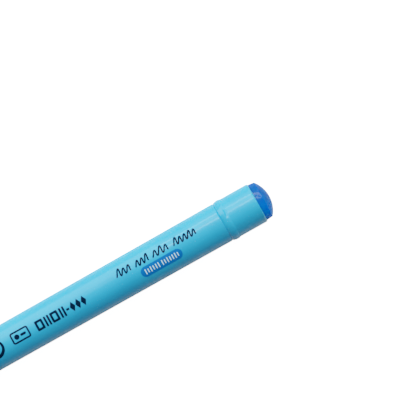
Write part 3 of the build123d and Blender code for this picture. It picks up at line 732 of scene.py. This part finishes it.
def dropOutline(look, inset, shift):
    outline = []
    radius = look["radius"] - inset
    for i in range(look["points"]):
        angle = 2 * math.pi * i / look["points"]
        pointed = max(0.0, -math.cos(angle)) ** look["narrowing"]
        along = math.cos(angle) * radius - pointed * (look["tip"] - look["radius"])
        across = radius * math.sin(angle) * (1 - look["waist"] * pointed)
        outline.append((look["x"] + along + shift, look["y"] + across + shift))
    return outline


def dropMark(look):
    return between(dropOutline(look, 0.0, 0.0), dropOutline(look, look["line"], look["shift"]))


film("print_framed_mark", framedMark(frameLook), blackPrint)
film("print_row", heavyRow(rowLook), blackPrint)
film("print_drop", dropMark(dropLook), blackPrint)
for i, (left, right, rises) in enumerate(scribbleRuns):
    film(f"print_scribble_{i + 1}", scribble(left, right, scribbleLook, rises), blackPrint)
badgeEdges = [badgeShape[edge] for edge in ("left", "right", "low", "high")]
badgeHalf = (badgeShape["high"] - badgeShape["low"]) / 2
badgePill = roundedRect(*badgeEdges, badgeHalf * nearlyRound, badgeShape["cornerPoints"])
film("print_badge", [badgePill], badgePrint)
film("print_badge_bars", badgeBars(badgeShape), whitePrint, lift=filmShape["raised"])
print("stage: print")


# ---- studio: pale floor under the cap rim and the tail bead ----
def staged(name, corners, material):
    data = bpy.data.meshes.new(name)
    data.from_pydata(corners, [], [tuple(range(len(corners)))])
    data.materials.append(material)
    made = bpy.data.objects.new(name, data)
    bpy.context.scene.collection.objects.link(made)
    return made


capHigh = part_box("cap_shell")[1]
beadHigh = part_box("tail_sleeve")[1]
studio = {
    "floorSize": 2.5, "beadX": 0.13855, "floorGap": 0.02 * mm, "floorGlow": 3.7, "floorShine": 0.1,
    "floorRoughness": 0.8, "grainScale": 0.08, "grainRoughness": 0.1, "grainReach": 2.0,
    "paintedShadeFront": (0.2, 0.25, 0.31), "nearSide": (0.7, 0.7, 0.7), "paintedLightBack": (0.9, 0.9, 0.9),
    "nearFrom": (-34.0, -8.0), "brightFrom": (2.0, 12.0),
}


# the floor glows white to the camera; its colour, in what it throws back on the pen, is painted light towards
# the back and painted shade towards the front, so the reflection darkens and turns bluer from back to front
def floorMaterial(look):
    material, tree, place = startMaterial("studio_floor")
    grain = place.noise(look["grainScale"], 3.0, 0.5)
    across = place.dot((0.0, 1.0, 0.0)) + grain * look["grainReach"]
    # painted shade: a darker, bluer floor colour towards the front (-Y)
    colour = across.ease(*look["nearFrom"]).blend(rgba(look["paintedShadeFront"]), rgba(look["nearSide"]))
    # painted light: a paler floor colour towards the back (+Y)
    colour = across.ease(*look["brightFrom"]).blend(colour, rgba(look["paintedLightBack"]))
    inputs = {
        "Base Color": colour,
        "Roughness": grain * look["grainRoughness"] + look["floorRoughness"],
        "Specular IOR Level": look["floorShine"],
        "Emission Color": (1.0, 1.0, 1.0, 1.0),
        "Emission Strength": look["floorGlow"],
    }
    finishMaterial(tree, inputs)
    return material


# a glowing thing lights one object and no other
def lightOnly(lamp, receiver):
    receivers = bpy.data.collections.new(f"{lamp.name}_receivers")
    receivers.objects.link(receiver)
    lamp.light_linking.receiver_collection = receivers


# the floor slopes a little, because the cap's rim is wider than the bead
def floorZ(x):
    share = (x - capHigh.x) / (studio["beadX"] - capHigh.x)
    return -(capHigh.z + (beadHigh.z - capHigh.z) * share) - studio["floorGap"]


half = studio["floorSize"] / 2
floorCorners = [(x, y, floorZ(x)) for x, y in ((-half, -half), (half, -half), (half, half), (-half, half))]
floor = staged("studio_floor", floorCorners, floorMaterial(studio))
lightOnly(floor, floor)

# soft boxes: each a panel square to the pen, from one angle to another off the vertical
panels = {
    "tail": {"x": (0.114, 0.32), "angles": (28.0, 64.0), "distance": 0.4, "glow": 5.4},
    "tail_edge_low": {"x": (0.114, 0.32), "angles": (57.0, 64.5), "distance": 0.37, "glow": 8.6},
    "tail_edge_high": {"x": (0.114, 0.32), "angles": (28.5, 36.5), "distance": 0.37, "glow": 8.6},
    "tail_far": {"x": (0.19, 0.32), "angles": (6.0, 28.0), "distance": 0.4, "glow": 8.0},
    "eraser": {"x": (0.182, 0.24), "angles": (18.0, 62.0), "distance": 0.34, "glow": 35.0},
    "cap": {"x": (-0.25, 0.114), "angles": (40.0, 80.0), "distance": 0.4, "glow": 5.0},
}
panelColour = (0.96, 1.08, 1.0)


def panelMaterial(name, glow):
    material, tree = startMaterial(name)[:2]
    finishMaterial(tree, {"Color": rgba(panelColour), "Strength": glow}, "ShaderNodeEmission")
    return material


for name, panel in panels.items():
    lowAngle, highAngle = (math.radians(angle) for angle in panel["angles"])
    corners = []
    for x, angle in ((0, lowAngle), (1, lowAngle), (1, highAngle), (0, highAngle)):
        across = panel["distance"] * math.sin(angle)
        corners.append((panel["x"][x], across, panel["distance"] * math.cos(angle)))
    made = staged(f"panel_{name}", corners, panelMaterial(f"panel_{name}", panel["glow"]))
    made.visible_camera = False
    made.visible_shadow = False
    if name == "eraser":
        lightOnly(made, nodes["eraser"])

# ---- camera: straight above, turned so that the pen rises to the right ----
cameraLook = {
    "target": Vector((0.135085, 0.007252, 0)), "turn": math.radians(29.389), "frameWidth": 0.095464,
    "distance": 1.2, "sensor": 36.0,
}
cameraData = bpy.data.cameras.new("camera")
cameraData.sensor_width = cameraLook["sensor"]
cameraData.lens = cameraLook["sensor"] * cameraLook["distance"] / cameraLook["frameWidth"]
camera = bpy.data.objects.new("camera", cameraData)
camera.location = cameraLook["target"] + Vector((0, 0, cameraLook["distance"]))
camera.rotation_euler = (0, 0, -cameraLook["turn"])
bpy.context.scene.collection.objects.link(camera)
bpy.context.scene.camera = camera

# ---- surroundings: bright above and behind, dark in front ----
skyLook = {
    "lean": math.radians(56), "cool": (0.8, 0.93, 1.08), "warm": (1.0, 1.05, 0.98),
    "stops": ((-0.2, 0.12), (0.21, 0.5), (0.62, 1.15), (0.88, 3.7), (1.0, 3.6)), "tintFrom": (0.0, 0.7),
}
world = bpy.data.worlds.new("studio")
bpy.context.scene.world = world
world.use_nodes = True
world.node_tree.nodes.clear()
sky = Sig(world.node_tree)
turn = cameraLook["turn"]
bright = Vector((math.sin(turn), math.cos(turn), 0)) * math.sin(skyLook["lean"])
bright.z = math.cos(skyLook["lean"])
height = sky.node("ShaderNodeTexCoord", None, None, "Generated").dot(tuple(bright))
brightness = skyLook["stops"][0][1]
for (low, lowGlow), (high, highGlow) in zip(skyLook["stops"], skyLook["stops"][1:]):
    brightness = height.ease(low, high) * (highGlow - lowGlow) + brightness
tint = height.ease(*skyLook["tintFrom"]).blend(rgba(skyLook["cool"]), rgba(skyLook["warm"]))
background = sky.node("ShaderNodeBackground", None, {"Color": tint, "Strength": brightness})
sky.node("ShaderNodeOutputWorld", None, {"Surface": background})

# ---- view response: straight in the shadows, with a long shoulder up to white ----
response = {"white": 4.0, "shoulder": 0.75, "steps": (0.01, 0.03, 0.06, 0.1, 0.16, 0.25, 0.38, 0.55, 0.75)}
view = bpy.context.scene.view_settings
view.view_transform = "Standard"
view.use_curve_mapping = True
curves = view.curve_mapping
curves.white_level = (response["white"],) * 3
curves.use_clip = True
# the fourth curve acts on all three colours together
combined = curves.curves[3]
for share in response["steps"]:
    light = share * response["white"]
    combined.points.new(share, light / (1 + response["shoulder"] * light))
curves.update()
print("stage: studio")
